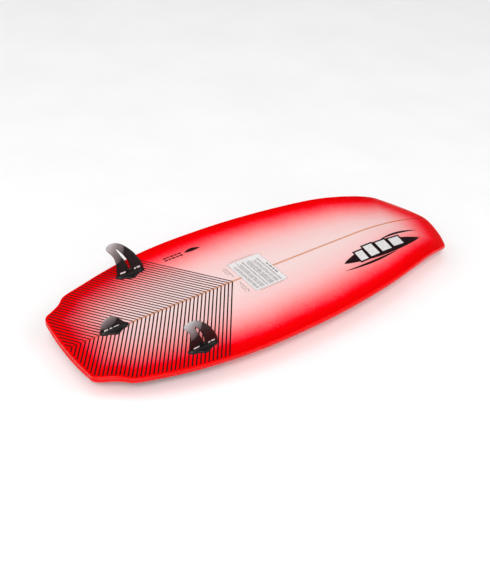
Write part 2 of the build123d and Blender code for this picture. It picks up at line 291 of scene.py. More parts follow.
class Nodes:
    """A material's node tree, with short calls for the nodes used here."""

    def __init__(self, name):
        self.material = bpy.data.materials.new(name)
        self.material.use_nodes = True
        self.tree = self.material.node_tree
        self.shader = self.tree.nodes["Principled BSDF"]

    def add(self, kind, values=None, links=None, **settings):
        node = self.tree.nodes.new(kind)
        for key, value in settings.items():
            setattr(node, key, value)
        for key, value in (values or {}).items():
            node.inputs[key].default_value = value
        for key, socket in (links or {}).items():
            self.tree.links.new(socket, node.inputs[key])
        return node

    def position(self, scale=(1, 1, 1)):
        """Place in the object, stretched."""
        coords = self.add("ShaderNodeTexCoord").outputs["Object"]
        return self.add("ShaderNodeMapping", {"Scale": scale}, {"Vector": coords}).outputs[0]

    def noise(self, scale, detail=4.0, rough=0.55, vector=None):
        links = {"Vector": vector or self.position()}
        values = {"Scale": scale, "Detail": detail, "Roughness": rough}
        return self.add("ShaderNodeTexNoise", values, links).outputs["Fac"]

    def math(self, operation, a, b=0.0, c=0.0, clamp=False):
        node = self.add("ShaderNodeMath", operation=operation, use_clamp=clamp)
        for socket, value in zip(node.inputs, (a, b, c)):
            if isinstance(value, (int, float)):
                socket.default_value = value
            else:
                self.tree.links.new(value, socket)
        return node.outputs[0]

    def ramp(self, factor, stops, interpolation="LINEAR"):
        node = self.add("ShaderNodeValToRGB", links={"Fac": factor})
        ramp = node.color_ramp
        ramp.interpolation = interpolation
        ramp.elements.remove(ramp.elements[0])
        ramp.elements[0].position, ramp.elements[0].color = stops[0]
        for place, colour in stops[1:]:
            ramp.elements.new(place).color = colour
        return node.outputs["Color"]

    def mix(self, factor, a, b, blend="MIX"):
        node = self.add("ShaderNodeMix", data_type="RGBA", blend_type=blend, clamp_factor=True)
        for socket, value in ((node.inputs[0], factor), (node.inputs[6], a), (node.inputs[7], b)):
            if isinstance(value, (int, float, tuple)):
                socket.default_value = value
            else:
                self.tree.links.new(value, socket)
        return node.outputs[2]

    def spread(self, factor, low, high):
        """0 to 1 turned into low to high."""
        node = self.add("ShaderNodeMapRange", {"To Min": low, "To Max": high}, {"Value": factor})
        return node.outputs[0]

    def bump(self, height, strength, distance):
        values = {"Strength": strength, "Distance": distance}
        normal = self.add("ShaderNodeBump", values, {"Height": height}).outputs[0]
        self.tree.links.new(normal, self.shader.inputs["Normal"])

    def set(self, **values):
        names = {"color": "Base Color", "rough": "Roughness", "metal": "Metallic", "coat": "Coat Weight",
                 "coat_rough": "Coat Roughness", "specular": "Specular IOR Level", "sheen": "Sheen Weight",
                 "transmission": "Transmission Weight", "subsurface": "Subsurface Weight"}
        for key, value in values.items():
            socket = self.shader.inputs[names[key]]
            if isinstance(value, (int, float, tuple)):
                socket.default_value = value
            else:
                self.tree.links.new(value, socket)
        return self.material


# red at the rim, sprayed out to a pale middle: place in millimetres from the rim and colour
SPRAY = [(0, (226, 0, 4)), (26, (238, 0, 4)), (41, (248, 0, 14)), (47, (251, 22, 42)), (58, (251, 56, 70)),
         (76, (251, 92, 97)), (96, (251, 126, 128)), (116, (249, 151, 151)), (140, (246, 174, 173)),
         (176, (242, 196, 195)), (240, (239, 210, 208))]
SPRAY_REACH = 260.0


def laminate_material(name, stringer=True):
    n = Nodes(name)
    rim = n.add("ShaderNodeAttribute", attribute_name="rim_mm").outputs["Fac"]
    drift = n.spread(n.noise(9.0, 3.0), -9.0, 9.0)
    speckle = n.spread(n.noise(420.0, 3.0, 0.75), -24.0, 24.0)
    clouds = n.spread(n.noise(60.0, 4.0), -6.0, 6.0)
    place = n.math("ADD", rim, n.math("ADD", drift, n.math("ADD", speckle, clouds)))
    place = n.math("DIVIDE", place, SPRAY_REACH, clamp=True)
    colour = n.ramp(place, [(mm / SPRAY_REACH, srgb(*rgb)) for mm, rgb in SPRAY])
    if stringer:
        colour = stringer_tint(n, colour)
    grain = n.noise(900.0, 2.0, 0.6)
    colour = n.mix(n.spread(grain, 0.0, 0.07), colour, srgb(120, 60, 60), "MULTIPLY")
    weave = n.add("ShaderNodeTexWave", {"Scale": 300.0, "Distortion": 0.6}, {"Vector": n.position()})
    height = n.math("ADD", n.math("MULTIPLY", weave.outputs["Fac"], 0.15), n.noise(24.0, 3.0))
    n.bump(height, 0.05, 0.0008)
    rough = n.spread(n.noise(35.0, 5.0), 0.14, 0.26)
    return n.set(color=colour, rough=rough, specular=0.11)


STRINGER_HALF = 0.0042


def stringer_tint(n, colour):
    """The wooden stringer seen through the gloss: a narrow tan line, unevenly dyed."""
    axes = n.add("ShaderNodeSeparateXYZ", links={"Vector": n.position()}).outputs
    wander = n.spread(n.noise(14.0, 3.0), -0.0004, 0.0004)
    across = n.math("ABSOLUTE", n.math("ADD", axes["Y"], wander))
    line = n.math("SUBTRACT", 1.0, n.math("DIVIDE", across, STRINGER_HALF), clamp=True)
    line = n.math("MULTIPLY", line, 3.0, clamp=True)
    grain = n.noise(60.0, 6.0, 0.7, n.position((1.0, 30.0, 1.0)))
    wood = n.ramp(grain, [(0.3, (0.60, 0.31, 0.17, 1)), (0.7, (0.92, 0.62, 0.38, 1))])
    return n.mix(n.math("MULTIPLY", line, 0.93), colour, n.mix(1.0, colour, wood, "MULTIPLY"))


def ink_material(name, dark, light):
    """Ink under the gloss: nearly even, a little mottled."""
    n = Nodes(name)
    colour = n.ramp(n.noise(160.0, 5.0), [(0.3, dark), (0.72, light)])
    n.bump(n.noise(700.0, 2.0), 0.04, 0.0003)
    return n.set(color=colour, rough=n.spread(n.noise(60.0), 0.28, 0.42), specular=0.12)


def label_material():
    """Pale tissue laid under the glass, with loose fibres."""
    n = Nodes("label_tissue")
    fibres = n.noise(500.0, 6.0, 0.8, n.position((1.0, 0.16, 1.0)))
    stops = [(0.3, srgb(214, 208, 207)), (0.5, srgb(227, 222, 222)), (0.7, srgb(238, 234, 234))]
    colour = n.ramp(fibres, stops)
    n.bump(n.noise(350.0, 4.0), 0.08, 0.0004)
    return n.set(color=colour, rough=0.38, specular=0.14)


def fin_black_material():
    """Black glass-filled moulding with a faint weave and handling marks."""
    n = Nodes("fin_black")
    weave = n.add("ShaderNodeTexWave", {"Scale": 260.0, "Distortion": 1.2, "Detail": 2.0},
                  {"Vector": n.position((1.0, 1.0, 0.6))}).outputs["Fac"]
    tone = n.math("ADD", n.math("MULTIPLY", weave, 0.35), n.math("MULTIPLY", n.noise(90.0, 5.0), 0.65))
    colour = n.ramp(tone, [(0.25, srgb(9, 7, 8)), (0.75, srgb(30, 27, 28))])
    n.bump(n.math("ADD", weave, n.noise(600.0, 2.0)), 0.06, 0.0003)
    return n.set(color=colour, rough=n.spread(n.noise(45.0, 4.0), 0.26, 0.42), specular=0.3)


def fin_smoke_material():
    """Smoke-coloured resin, clearer towards the tip and the trailing edge."""
    n = Nodes("fin_smoke")
    fade = n.add("ShaderNodeAttribute", attribute_name="tip_fade").outputs["Fac"]
    place = n.math("ADD", fade, n.spread(n.noise(110.0, 5.0, 0.7), -0.1, 0.1), clamp=True)
    colour = n.ramp(place, [(0.0, srgb(52, 49, 50)), (0.35, srgb(82, 80, 81)), (0.7, srgb(126, 124, 125)),
                            (1.0, srgb(176, 174, 175))])
    n.bump(n.noise(500.0, 3.0), 0.04, 0.0003)
    return n.set(color=colour, rough=n.spread(n.noise(50.0, 3.0), 0.25, 0.4), coat=0.2, coat_rough=0.15,
                 specular=0.35, subsurface=0.06)


def plain_grain(name, low, high, scale, rough, bump=0.1, metal=0.0, stretch=(1, 1, 1), specular=0.4):
    n = Nodes(name)
    grain = n.noise(scale, 5.0, 0.65, n.position(stretch))
    n.bump(n.noise(scale * 3, 3.0, 0.6, n.position(stretch)), bump, 0.0005)
    return n.set(color=n.ramp(grain, [(0.3, low), (0.7, high)]), rough=n.spread(grain, *rough), metal=metal,
                 specular=specular)


def bead_foam_material():
    """Fused white foam beads."""
    n = Nodes("bead_foam")
    cells = n.add("ShaderNodeTexVoronoi", {"Scale": 320.0}, {"Vector": n.position()}).outputs["Distance"]
    n.bump(cells, 0.5, 0.001)
    return n.set(color=n.ramp(cells, [(0.1, srgb(244, 243, 238)), (0.6, srgb(219, 217, 210))]), rough=0.8)


def grip_foam_material():
    """Closed-cell grip foam: dull, finely pitted, with painted shade in the pits and a little random dust."""
    n = Nodes("grip_foam")
    pits = n.add("ShaderNodeTexVoronoi", {"Scale": 900.0}, {"Vector": n.position()}).outputs["Distance"]
    dust = n.noise(30.0, 6.0, 0.7)
    # painted shade: the colour darkens where the pits sink, following the depth the bump uses; the dust noise
    # only adds random tone
    n.bump(pits, 0.35, 0.0006)
    colour = n.ramp(n.math("ADD", n.math("MULTIPLY", pits, 0.5), n.math("MULTIPLY", dust, 0.6)),
                    [(0.3, srgb(30, 30, 32)), (0.8, srgb(62, 62, 65))])
    return n.set(color=colour, rough=n.spread(dust, 0.72, 0.9), sheen=0.15)


def floor_material():
    n = Nodes("pale_floor")
    tone = n.ramp(n.noise(3.0, 3.0), [(0.3, srgb(243, 243, 243)), (0.7, srgb(247, 247, 247))])
    return n.set(color=tone, rough=0.9, specular=0.1)


def dress(obj, material, body, replaces=()):
    obj.data.materials.clear()
    obj.data.materials.append(material)
    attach(obj, body)
    if replaces:
        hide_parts(*replaces)
    return obj


# ---------------------------------------------------------------- the board

OUTLINE = board_outline()
NORMALS = inward_normals(OUTLINE)


def edge_radius(x):
    """The bottom edge is crisp at the tail and softer from the middle on."""
    return np.interp(x, [0, 160, 420, 800, 1250, LENGTH], [2.2, 2.6, 4.0, 7.0, 6.0, 5.0])


def centre_line_of(loop):
    """Where each outline point's row of quads ends on the stringer."""
    x = 60 + loop[:, 0] * (LENGTH - 142) / LENGTH
    return np.stack([x, np.zeros(len(x))], 1)


RING_SHARES = [0.008, 0.02, 0.04, 0.07, 0.11, 0.16, 0.22, 0.29, 0.37, 0.45, 0.54, 0.63, 0.72, 0.81, 0.9, 0.96,
               1.0]


def skin_rings(height_at, radius, sign):
    """Rings from the rail seam over the rounded edge to the stringer."""
    seam = bottom_z(OUTLINE[:, 0], OUTLINE[:, 1]) - SEAM_DROP
    rings = [np.column_stack([OUTLINE, seam])]
    for step in range(0, 9):
        turn = math.pi / 2 * step / 8
        inset = radius * (1 - math.cos(turn))
        plan = OUTLINE + NORMALS * inset[:, None]
        drop = radius * (1 - math.sin(turn))
        rings.append(np.column_stack([plan, height_at(plan) - sign * drop]))
    edge = rings[-1][:, :2]
    centre = centre_line_of(OUTLINE)
    for share in RING_SHARES:
        plan = edge * (1 - share) + centre * share
        rings.append(np.column_stack([plan, height_at(plan)]))
    return rings


def skin_shell(name, rings, sign):
    """The closed laminate: rings joined up, its outer side turned outwards, then given thickness."""
    points, faces = ring_mesh(rings)
    shell = new_object(name, to_row(points), faces)
    tidy_mesh(shell, merge=2e-5)
    bm = bmesh.new()
    bm.from_mesh(shell.data)
    bm.faces.ensure_lookup_table()
    top = max(bm.faces, key=lambda f: abs(f.normal.z) * f.calc_area())
    if top.normal.z * sign < 0:
        bmesh.ops.reverse_faces(bm, faces=bm.faces)
    bm.to_mesh(shell.data)
    bm.free()
    solid = shell.modifiers.new("laminate", "SOLIDIFY")
    solid.thickness, solid.offset = SKIN / 1000, -1.0
    return shell


def with_rim_distance(obj):
    """Stores each point's distance from the rim, which the sprayed colour follows."""
    co = np.array([v.co for v in obj.data.vertices])[:, :2] * 1000 + [LENGTH / 2, 0]
    attribute = obj.data.attributes.new("rim_mm", "FLOAT", "POINT")
    attribute.data.foreach_set("value", distance_to(co, OUTLINE).astype(np.float32))
    return obj


def fin_seat(x, y):
    """Matrix of a fin's own frame in board millimetres: square to the bottom."""
    slope = (bottom_z(np.array(x + 1.0)) - bottom_z(np.array(x - 1.0))) / 2
    place = Matrix.Translation((x, y, float(bottom_z(np.array(x)))))
    return place @ Matrix.Rotation(-math.atan(slope), 4, "Y")


FINS = {"left": (SIDE_FIN_X, SIDE_FIN_Y, 1), "right": (SIDE_FIN_X, -SIDE_FIN_Y, -1),
        "centre": (CENTRE_FIN_X, 0.0, 0)}


def moved(points, matrix):
    m = np.array(matrix)
    return np.asarray(points, float) @ m[:3, :3].T + m[:3, 3]


def stadium(length, width, count=40):
    """Slot outline: straight sides with round ends, clockwise."""
    r, reach = width / 2, (length - width) / 2
    angles = np.linspace(math.pi / 2, -math.pi / 2, count)
    front = np.stack([reach + r * np.cos(angles), r * np.sin(angles)], 1)
    return np.concatenate([front, -front])


def box_cutters():
    """One block through the bottom laminate for each fin box."""
    plan = stadium(TAB_SPACING + TAB_LENGTH + 9.4, 14.6)
    cutters = []
    for name, (x, y, _) in FINS.items():
        seat = fin_seat(x, y)
        rings = [np.column_stack([plan, np.full(len(plan), z)]) for z in (-20.0, 20.0)]
        points, faces = ring_mesh(rings)
        count = len(plan)
        faces += [tuple(range(count)), tuple(range(2 * count - 1, count - 1, -1))]
        cutters.append(tidy_mesh(new_object("cut_" + name, to_row(moved(points, seat)), faces, smooth=False)))
    return cutters


def make_skins():
    """The two laminates, the bottom one cut open over the fin boxes."""
    bottom_rings = skin_rings(lambda p: bottom_z(p[:, 0], p[:, 1]), edge_radius(OUTLINE[:, 0]), 1)
    bottom = skin_shell("bottom_laminate", bottom_rings, 1)
    cutters = box_cutters()
    for cutter in cutters:
        cut = bottom.modifiers.new("box hole", "BOOLEAN")
        cut.object, cut.operation, cut.solver = cutter, "DIFFERENCE", "EXACT"
    apply_modifiers(bottom)
    for cutter in cutters:
        bpy.data.objects.remove(cutter)
    deck_rings = skin_rings(lambda p: deck_z(p[:, 0], p[:, 1]), np.full(len(OUTLINE), DECK_EDGE_R), -1)
    deck = skin_shell("deck_laminate", deck_rings, -1)
    apply_modifiers(deck)
    for obj in (bottom, deck):
        with_rim_distance(obj)
    dress(bottom, laminate_material("bottom_gloss"), "board", ["bottom_skin"])
    dress(deck, laminate_material("deck_gloss", stringer=False), "board", ["deck_skin"])


# ---------------------------------------------------------------- printed graphics

PRINT_LIFT, PRINT_SINK = 0.22, -0.12


def surface_print(name, shapes, material, spacing=14.0, lift=PRINT_LIFT):
    """Flat shapes laid on the bottom as one thin closed layer that follows the rocker."""
    points, faces = [], []
    for shape in shapes:
        plan, tris = triangulated(shape, [], spacing)
        z = bottom_z(plan[:, 0], plan[:, 1])
        made, sides = thick_sheet(tris, np.column_stack([plan, z + PRINT_SINK]),
                                  np.column_stack([plan, z + lift]))
        base = sum(len(p) for p in points)
        points.append(made)
        faces += [tuple(i + base for i in f) for f in sides]
    obj = new_object(name, to_row(np.concatenate(points)), faces, smooth=False)
    return dress(tidy_mesh(obj), material, "board")


def arm_end(apex, side, inset=6.5):
    """How far along y an arm of the chevron runs before it comes near the rim."""
    ys = np.linspace(0, 282, 565)
    plan = np.column_stack([apex - STRIPE_SLOPE * ys, side * ys])
    room = np.where(inside(plan, OUTLINE), distance_to(plan, OUTLINE), 0)
    short = np.nonzero((room < inset) & (ys > 1))[0]
    return ys[short[0]] if len(short) else ys[-1]


def chevron_stripes():
    """Nested arrow lines from the tail forward, both arms of each in one ribbon."""
    half = STRIPE_WIDTH / 2 * math.hypot(1, STRIPE_SLOPE)
    shapes = []
    apex = STRIPE_APEX
    while apex > 10:
        for side in (1, -1):
            end = arm_end(apex, side)
            ys = np.array([1.1, end]) if end > 4 else None
            if ys is None:
                continue
            front = [(apex + half - STRIPE_SLOPE * y, side * y) for y in ys]
            rear = [(apex - half - STRIPE_SLOPE * y, side * y) for y in ys]
            shapes.append(np.array(front + rear[::-1]))
        apex -= STRIPE_PITCH
    return shapes


def ribbon_print(name, shapes, material, step=16.0):
    """Four-cornered strips laid on the bottom, cut into short quads along their length."""
    points, faces = [], []
    for shape in shapes:
        a, b, c, d = shape
        cuts = max(1, int(np.linalg.norm(b - a) / step))
        share = np.linspace(0, 1, cuts + 1)[:, None]
        front, rear = a + (b - a) * share, d + (c - d) * share
        rows = []
        for plan, rise in ((front, PRINT_LIFT), (rear, PRINT_LIFT), (rear, PRINT_SINK), (front, PRINT_SINK)):
            rows.append(np.column_stack([plan, bottom_z(plan[:, 0], plan[:, 1]) + rise]))
        base, n = len(points), cuts + 1
        points += [tuple(p) for row in rows for p in row]
        for k in range(4):
            for i in range(cuts):
                at, to = base + k * n, base + ((k + 1) % 4) * n
                faces.append((at + i, at + i + 1, to + i + 1, to + i))
        faces += [tuple(base + k * n for k in range(4)), tuple(base + k * n + cuts for k in range(3, -1, -1))]
    obj = new_object(name, to_row(points), faces, smooth=False)
    return dress(tidy_mesh(obj), material, "board")


def bar(x0, x1, y0, y1, slant=0.0):
    return np.array([(x0, y0), (x1, y0), (x1 + slant, y1), (x0 + slant, y1)], float)


def lens_shape(x0, x1, y, half, bend=0.0, count=26):
    """A long leaf, pointed at both ends, its middle bent sideways by bend."""
    t = np.linspace(0, 1, count)
    spine = y + bend * np.sin(math.pi * t)
    width = half * np.sin(math.pi * t)**0.8
    upper = np.column_stack([x0 + (x1 - x0) * t, spine + width])
    lower = np.column_stack([x0 + (x1 - x0) * t, spine - width])
    return np.concatenate([upper, lower[1:-1][::-1]])


def wavy_strip(x, y0, y1, swing, width, waves, count=60):
    """A pen stroke across the board: a sine line of the given width."""
    t = np.linspace(0, 1, count)
    line = np.column_stack([x + swing * np.sin(2 * math.pi * waves * t), y0 + (y1 - y0) * t])
    offset = np.array([width / 2, 0])
    return np.concatenate([line + offset, (line - offset)[::-1]])


def make_graphics():
    black = ink_material("black_ink", srgb(22, 10, 12), srgb(44, 24, 27))
    pale = ink_material("pale_ink", srgb(206, 202, 202), srgb(228, 225, 225))
    ribbon_print("chevron_stripes", chevron_stripes(), black)

    # an invented mark near the nose: three leaves with pale slanted bars across the big one
    leaves = [lens_shape(890, 1222, -112, 33, 4), lens_shape(868, 1090, -143, 5, -6),
              lens_shape(1078, 1252, -70, 5, 8)]
    surface_print("emblem_dark", leaves, black, 12.0)
    blocks = [(948, 30, -128, -84), (992, 36, -126, -72), (1042, 40, -124, -76), (1096, 44, -120, -80)]
    edges = [bar(x - 7, x + w + 7, low - 7, high + 7, 12) for x, w, low, high in blocks]
    surface_print("emblem_edge", edges, black, 14.0, PRINT_LIFT * 2)
    bars = [bar(x, x + w, low, high, 10) for x, w, low, high in blocks]
    surface_print("emblem_light", bars, pale, 14.0, PRINT_LIFT * 3)

    # plain blocks in place of small print
    rows = [bar(x, x + w, y, y + 5.5, 1.5) for y in (190, 201)
            for x, w in ((430, 11), (444, 8), (455, 13), (471, 9), (483, 12))]
    rows += [lens_shape(504, 562, 198.5, 7.5, 3, 16)]
    surface_print("side_marks", rows, black, 20.0)


RULE_WIDTH, RULE_PITCH, PARAGRAPH_GAP = 2.2, 3.9, 4.2


def make_label():
    (x0, x1), half = LABEL_X, LABEL_HALF
    grid_x, grid_y = np.linspace(x0, x1, 14), np.linspace(-half, half, 16)
    points, faces = [], []
    for lift in (0.06, 0.3):
        for y in grid_y:
            points += [(x, y, float(bottom_z(np.array(x))) + lift) for x in grid_x]
    nx, ny = len(grid_x), len(grid_y)
    layer = nx * ny
    for j in range(ny - 1):
        for i in range(nx - 1):
            a = j * nx + i
            faces.append((a, a + nx, a + nx + 1, a + 1))
            faces.append((layer + a, layer + a + 1, layer + a + nx + 1, layer + a + nx))
    rim = list(range(nx)) + [j * nx + nx - 1 for j in range(1, ny)]
    rim += [(ny - 1) * nx + i for i in range(nx - 2, -1, -1)] + [j * nx for j in range(ny - 2, 0, -1)]
    for a, b in zip(rim, rim[1:] + rim[:1]):
        faces.append((a, b, layer + b, layer + a))
    sheet = tidy_mesh(new_object("label_tissue", to_row(points), faces, smooth=False))
    dress(sheet, label_material(), "board", ["info_label"])

    # blank ruled fields in place of small print, all generic
    grey = ink_material("label_grey", srgb(130, 125, 125), srgb(176, 171, 171))
    dark = ink_material("label_dark", srgb(44, 36, 38), srgb(70, 60, 62))
    random.seed(5)
    rules = []
    x = x0 + 7
    for lines in (3, 4, 2, 5, 3, 2):
        for _ in range(lines):
            y, stop = -half + 6, half - 6 - 20 * random.random()
            while y < stop - 6:
                run = random.uniform(9, 34)
                rules.append(bar(x, x + RULE_WIDTH, y, min(y + run, stop)))
                y += run + random.uniform(2.0, 3.5)
            x += RULE_PITCH
        x += PARAGRAPH_GAP
    surface_print("label_rules", rules, grey, 40.0, 0.42)
    title = [bar(x1 - 10, x1 - 6.5, y, y + w) for y, w in ((-36, 14), (-19, 9), (-7, 16), (12, 10))]
    border = [bar(x0 - 1.2, x0, -half, half), bar(x1, x1 + 1.2, -half, half),
              bar(x0, x1, -half - 1.2, -half), bar(x0, x1, half, half + 1.2)]
    surface_print("label_marks", title, dark, 40.0, 0.44)
    surface_print("label_border", border, grey, 20.0, 0.3)

    # two wavy pen strokes and a few dashes beside it
    strokes = [wavy_strip(562, side * 14, side * 66, 2.6, 1.5, 5 + side) for side in (1, -1)]
    strokes += [wavy_strip(553, side * 30, side * 62, 1.2, 1.1, 4) for side in (1, -1)]
    dashes = [bar(x, x + 6, s * (half + 6), s * (half + 6) + 1.3) for s in (1, -1)
              for x in np.arange(x0 + 12, x1 - 24, 10)]
    surface_print("board_notes", strokes + dashes, dark, 30.0)


# ---------------------------------------------------------------- fins

SIDE_BLADE = [(95, 0), (94.6, 6), (92, 18), (85.5, 34), (76, 51), (65.5, 68), (53, 84), (40, 98), (27, 109.3),
              (15, 116.3), (3, 120), (-8.5, 120.3), (-17.5, 116), (-21.3, 108), (-18.5, 99), (-11.5, 90),
              (-3.5, 78), (3, 61), (5.6, 41), (5, 20), (3, 0)]
SLIT_AHEAD = [(51, 20.5), (47.5, 36), (40.3, 54.5), (29.8, 73), (13.6, 95.5)]
SLIT_BEHIND = [(11.4, 94), (24, 69.5), (34, 51), (41, 34), (45.6, 20)]
SLIT_FOOT, SLIT_TOP = (48.8, 17.4), (11.6, 96.2)
SIDE_TONE = [(37, 135), (36.4, 102), (34.5, 87), (31, 75), (24, 60.5), (12, 50), (-8, 36)]
CENTRE_BLADE = [(84, 0), (80.5, 6), (76, 12), (67, 23.5), (57, 34.5), (49.6, 41.6), (41.6, 46.9),
                (32.5, 49.2), (22.5, 47.4), (12.5, 40.8), (5.2, 29), (2, 15), (0.5, 0)]
CENTRE_TONE = [(64, 50), (54, 34.3), (45.7, 23), (34, 16.6), (20, 14.8), (-8, 16.5)]
FOOT_LOBES = [(0.03, 3.5), (0.08, 7.5), (0.15, 10.8), (0.23, 12.2), (0.31, 15.5), (0.39, 21.0), (0.47, 23.4),
              (0.56, 22.0), (0.65, 16.8), (0.74, 12.4), (0.82, 10.6), (0.89, 9.6), (0.95, 5.2)]


def natural(points, spacing):
    """Spline through points with its ends along their first and last steps, evenly sampled."""
    p = np.array(points, float)
    line = smooth_curve(p, p[1] - p[0], p[-1] - p[-2], 30 * len(p))
    length = np.linalg.norm(np.diff(line, axis=0), axis=1).sum()
    return resampled(line, max(4, int(length / spacing)))


def slit_loop():
    ahead, behind = natural(SLIT_AHEAD, 1.3), natural(SLIT_BEHIND, 1.3)
    ends = [behind[-1] - behind[-2], ahead[1] - ahead[0], ahead[-1] - ahead[-2], behind[1] - behind[0]]
    low_turn = smooth_curve([behind[-1], SLIT_FOOT, ahead[0]], ends[0], ends[1], 8)
    high_turn = smooth_curve([ahead[-1], SLIT_TOP, behind[0]], ends[2], ends[3], 5)
    return np.concatenate([ahead[:-1], high_turn[:-1], behind[:-1], low_turn[:-1]])


def rounded_profile(distance, reach):
    share = np.clip(distance / reach, 0, 1)
    return np.sqrt(np.clip(1 - (1 - share)**2, 0, 1))


def blade_pieces(side):
    """Plan of the blade with its black and smoke triangles and its half thickness."""
    edge_points, tone_points = (SIDE_BLADE, SIDE_TONE) if side else (CENTRE_BLADE, CENTRE_TONE)
    height = 120.0 if side else 49.0
    edge = natural(edge_points, 1.3)
    slit = slit_loop() if side else None
    tone = natural(tone_points, 1.5)
    clear = inside(tone, edge) & (distance_to(tone, edge, closed=False) > 0.4)
    if side:
        clear &= ~inside(tone, slit) & (distance_to(tone, slit) > 0.4)
    runs = np.split(np.nonzero(clear)[0], np.nonzero(np.diff(np.nonzero(clear)[0]) > 1)[0] + 1)
    lines = [tone[max(run[0] - 1, 0):run[-1] + 2] for run in runs if len(run)]
    snapped = []
    for line in lines:
        line = line.copy()
        for end in (0, -1):
            border = edge if slit is None else np.concatenate([edge, slit])
            line[end] = border[np.argmin(np.linalg.norm(border - line[end], axis=1))]
        snapped.append(line)
    ring = [] if slit is None else [slit]
    plan, tris = triangulated(edge, ring, 2.3, snapped)
    to_edge = distance_to(plan, edge, closed=False)
    full = np.interp(plan[:, 1], [0, height], [3.7, 1.7] if side else [3.2, 1.8])
    half = full * rounded_profile(to_edge, 17.0 if side else 13.0)
    if side:
        half *= rounded_profile(distance_to(plan, slit), 2.4)
    split_line = natural(tone_points, 1.5)
    region = np.concatenate([split_line, [(-80, split_line[-1][1]), (-80, 200), (split_line[0][0], 200)]])
    is_smoke = inside(plan[tris].mean(1), region)
    return plan, tris, half, is_smoke, height


def blade_object(name, plan, tris, half, matrix, length):
    """A closed blade from its plan: both faces, edges shared where the blade thins to nothing."""
    local = np.column_stack([plan[:, 0] - length / 2, np.zeros(len(plan)), plan[:, 1]])
    low, high = local.copy(), local.copy()
    low[:, 1] -= half
    high[:, 1] += half
    shared = [i for i in range(len(plan)) if half[i] < 1e-3]
    points, faces = thick_sheet(tris, low, high, shared)
    obj = new_object(name, to_row(moved(points, matrix)), faces)
    return tidy_mesh(obj)


def foot_half(length, grow=0.0):
    reach = length / 2 + grow
    half = [((2 * s - 1) * reach, w + grow) for s, w in FOOT_LOBES]
    return smooth_curve([(-reach, 0)] + half + [(reach, 0)], (0.25, 1.0), (0.35, -1.0), 120)


def foot_mesh(length, blade_half):
    """Lobed foot: rounded edge, a step, and a soft fillet up to the blade."""
    line = foot_half(length)
    insets = [(0.0, 0.0), (0.0, 0.9), (0.15, 1.3), (0.45, 1.55), (0.9, 1.6), (1.15, 1.65), (1.3, 2.1),
              (1.5, 2.55), (1.9, 2.8), (3.0, 2.85)]
    rings = []
    for side in (1, -1):
        rows = []
        for inset, z in insets:
            y = np.maximum(line[:, 1] - inset, 0) * side
            rows.append(np.column_stack([line[:, 0], y, np.full(len(line), z)]))
        start = np.maximum(line[:, 1] - insets[-1][0], 0)
        for share in (0.2, 0.4, 0.55, 0.68, 0.8, 0.9, 1.0):
            y = start * (1 - share)
            rise = 3.4 * np.exp(-np.clip(y - blade_half, 0, None) / 2.6) * np.clip(start / 8, 0, 1)
            rows.append(np.column_stack([line[:, 0], y * side, insets[-1][1] + rise]))
        rings.append(rows)
    points, faces = [], []
    for rows in rings:
        made, quads = ring_mesh(rows, closed=False)
        faces += [tuple(i + len(points) for i in q) for q in quads]
        points += [tuple(p) for p in made]
    base = len(points)
    points += [(x, y, 0.0) for x, y in line] + [(x, -y, 0.0) for x, y in line]
    n = len(line)
    faces += [(base + i, base + n + i, base + n + i + 1, base + i + 1) for i in range(n - 1)]
    return np.array(points) + [0, 0, FOOT_Z], faces


def tab_mesh(x):
    """A round-cornered tab with a chamfered end, from inside the foot down into the box."""
    def outline(inset):
        r, hx, hy = 1.5, TAB_LENGTH / 2 - inset, TAB_WIDTH / 2 - inset
        pts = []
        cx, cy = hx - r, hy - r
        for sx, sy, a in ((1, 1, 0), (-1, 1, 90), (-1, -1, 180), (1, -1, 270)):
            for k in range(6):
                t = math.radians(a + 18 * k)
                pts.append((sx * cx + r * math.cos(t), sy * cy + r * math.sin(t)))
        return np.array(pts)
    levels = [(0.8, -TAB_DEPTH), (0.0, -TAB_DEPTH + 0.8), (0.0, -4.0), (0.0, FOOT_Z + 0.5)]
    rings = [np.column_stack([outline(i) + [x, 0], np.full(24, z)]) for i, z in levels]
    points, faces = ring_mesh(rings)
    count = len(rings[0])
    faces += [tuple(range(count)), tuple(range(len(points) - 1, len(points) - 1 - count, -1))]
    return points, faces


def joined(name, meshes, matrix):
    points, faces = [], []
    for made, quads in meshes:
        base = len(points)
        points += [tuple(p) for p in made]
        faces += [tuple(i + base for i in q) for q in quads]
    obj = new_object(name, to_row(moved(points, matrix)), faces)
    return tidy_mesh(obj, merge=1e-6)


RIM = 16


def fin_print(name, shapes, plan_half, matrix, length, material, body):
    """Short bars printed on both faces of a blade, raised a tenth of a millimetre."""
    points, faces = [], []
    for shape in shapes:
        for side in (1, -1):
            flat = resampled(np.vstack([shape, shape[:1]]), RIM, closed=True)
            depth = np.array([plan_half(u, w) for u, w in flat])
            for lift in (-0.15, 0.12):
                points += [(u - length / 2, side * (h + lift), w) for (u, w), h in zip(flat, depth)]
            base = len(points) - 2 * RIM
            faces += [tuple(base + i for i in range(RIM)), tuple(base + 2 * RIM - 1 - i for i in range(RIM))]
            for i in range(RIM):
                j = (i + 1) % RIM
                faces.append((base + i, base + j, base + RIM + j, base + RIM + i))
    obj = tidy_mesh(new_object(name, to_row(moved(points, matrix)), faces, smooth=False))
    return dress(obj, material, body)


